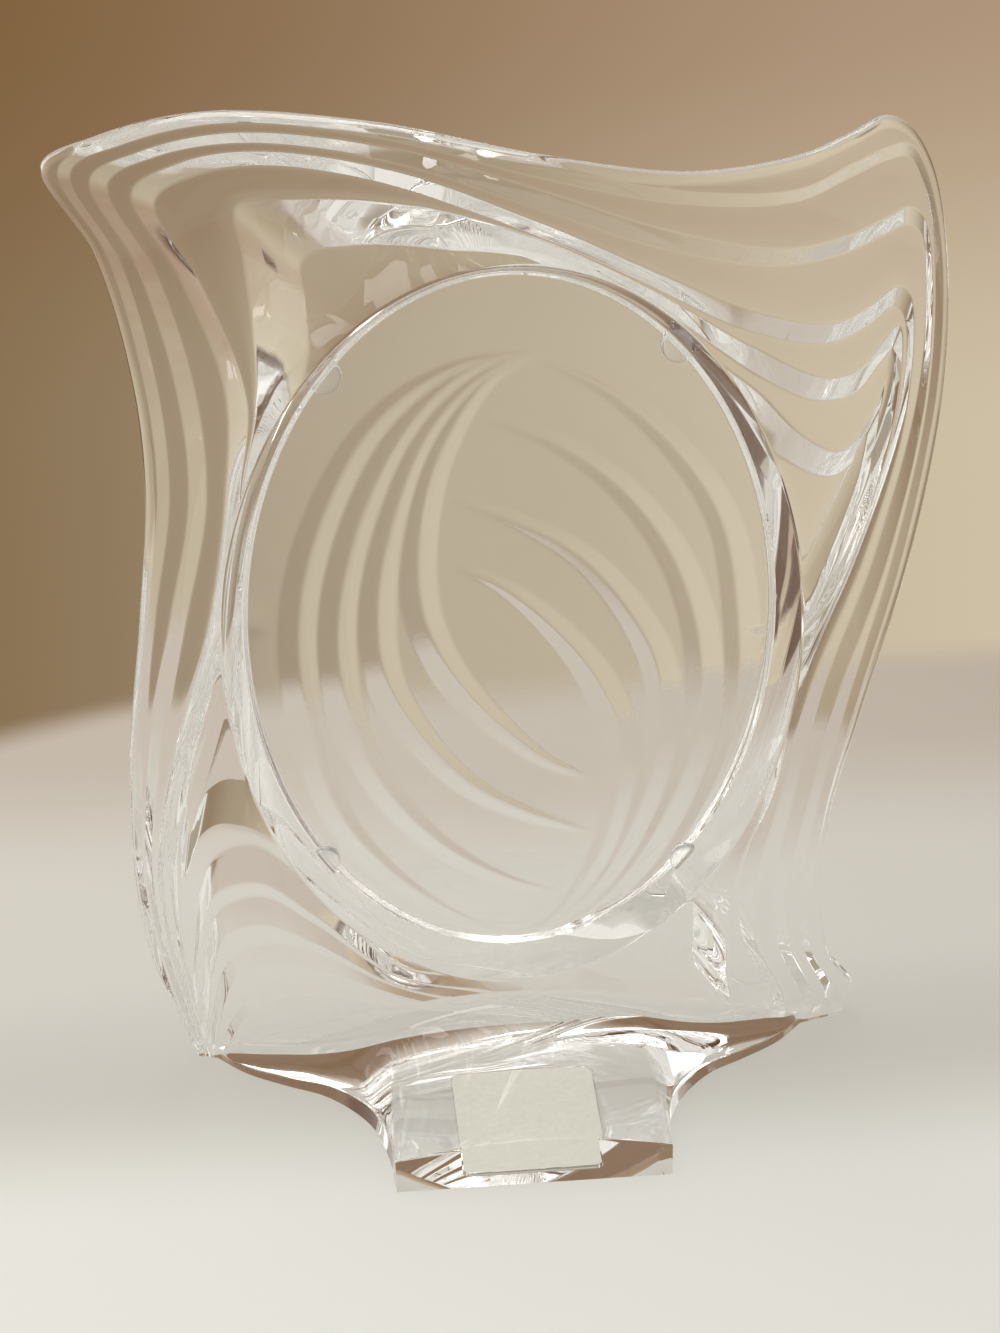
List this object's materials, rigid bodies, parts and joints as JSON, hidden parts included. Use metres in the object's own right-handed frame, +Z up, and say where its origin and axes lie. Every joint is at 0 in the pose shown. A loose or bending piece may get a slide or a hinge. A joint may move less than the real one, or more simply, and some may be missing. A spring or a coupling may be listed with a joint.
{
  "type": "crystal picture frame",
  "caption": "Free-standing pressed glass photo frame with swirling terraces, an oval recess in its back, an oval back plate with cut crescents and a flared foot.",
  "frame": {"origin": "middle of the outer box, on the table", "axes": "+Z up, +X to the right seen from the back, -Y towards the foot and the frame's back"},
  "size_m": [0.1958, 0.0742, 0.2449],
  "materials": {
    "body_glass": "polished clear",
    "plate_glass": "polished clear, with crescents cut in its near face",
    "clip_plastic": "clear gloss",
    "label_film": "matt film"
  },
  "bodies": {
    "body": {"crystal_body": "body_glass", "blank_label": "label_film"},
    "plate": {"back_plate": "plate_glass", "retaining_clip_1": "clip_plastic", "retaining_clip_2": "clip_plastic", "retaining_clip_3": "clip_plastic", "retaining_clip_4": "clip_plastic"}
  },
  "joints": [
    {"name": "back_plate_lift", "type": "slide", "parent": "body", "child": "plate", "axis": [0, -0.9848, -0.1736], "range_m": [0, 0.03]}
  ]
}
